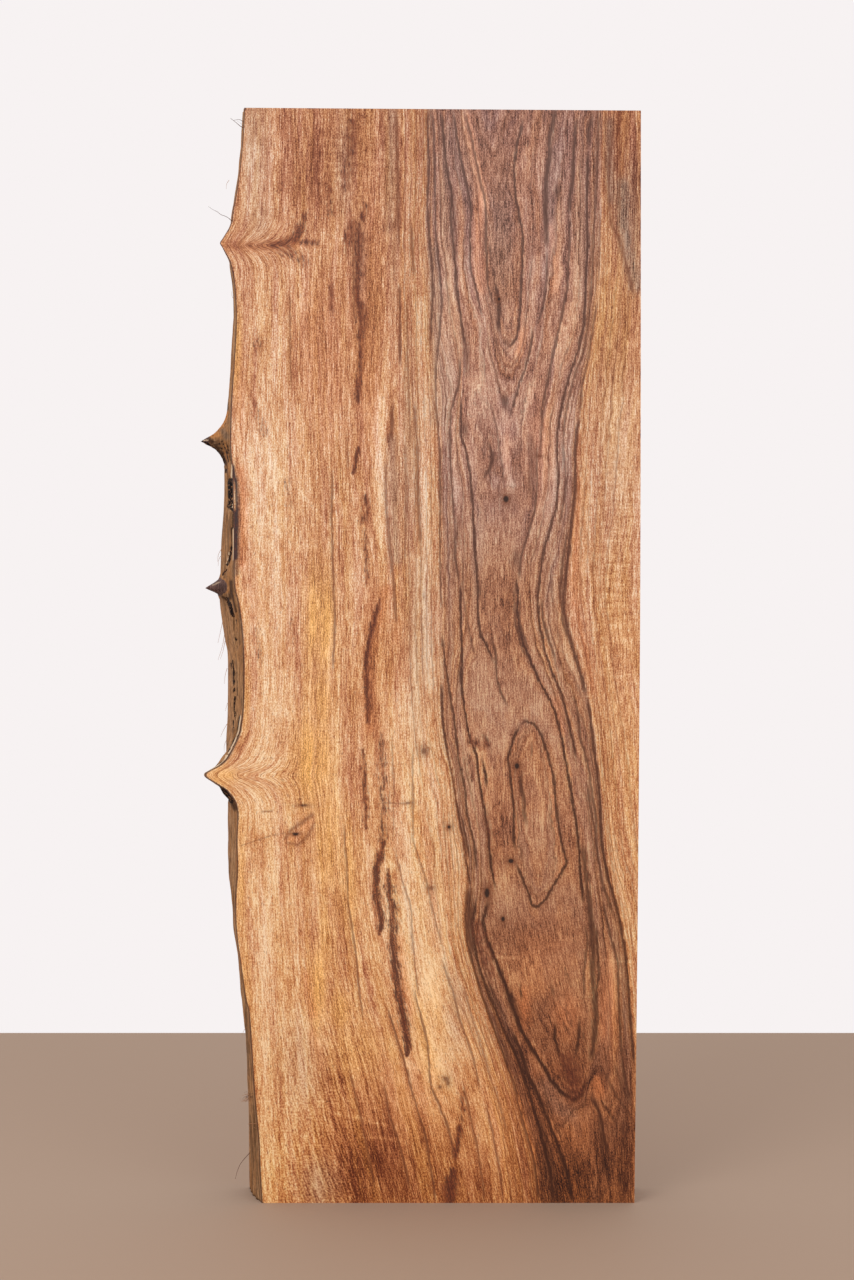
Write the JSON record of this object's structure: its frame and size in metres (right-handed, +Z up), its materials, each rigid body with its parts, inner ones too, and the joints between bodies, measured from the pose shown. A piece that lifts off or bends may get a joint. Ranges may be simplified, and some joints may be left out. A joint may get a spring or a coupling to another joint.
{
  "type": "live-edge black walnut board",
  "caption": "Tall flat-sawn walnut slab with one straight sawn edge, one natural edge carrying thorn-like spurs, and square-cut ends it can stand on.",
  "frame": {"origin": "under the middle of the board's bounding box, at the sawn foot", "axes": "+Z up along the grain, +X across the face towards the straight sawn edge, +Y from the front face to the back face"},
  "size_m": [0.4125, 0.048, 1.0163],
  "materials": {
    "walnut": "surfaced black walnut, bare, satin"
  },
  "bodies": {
    "root": {"board": "walnut"}
  },
  "joints": []
}
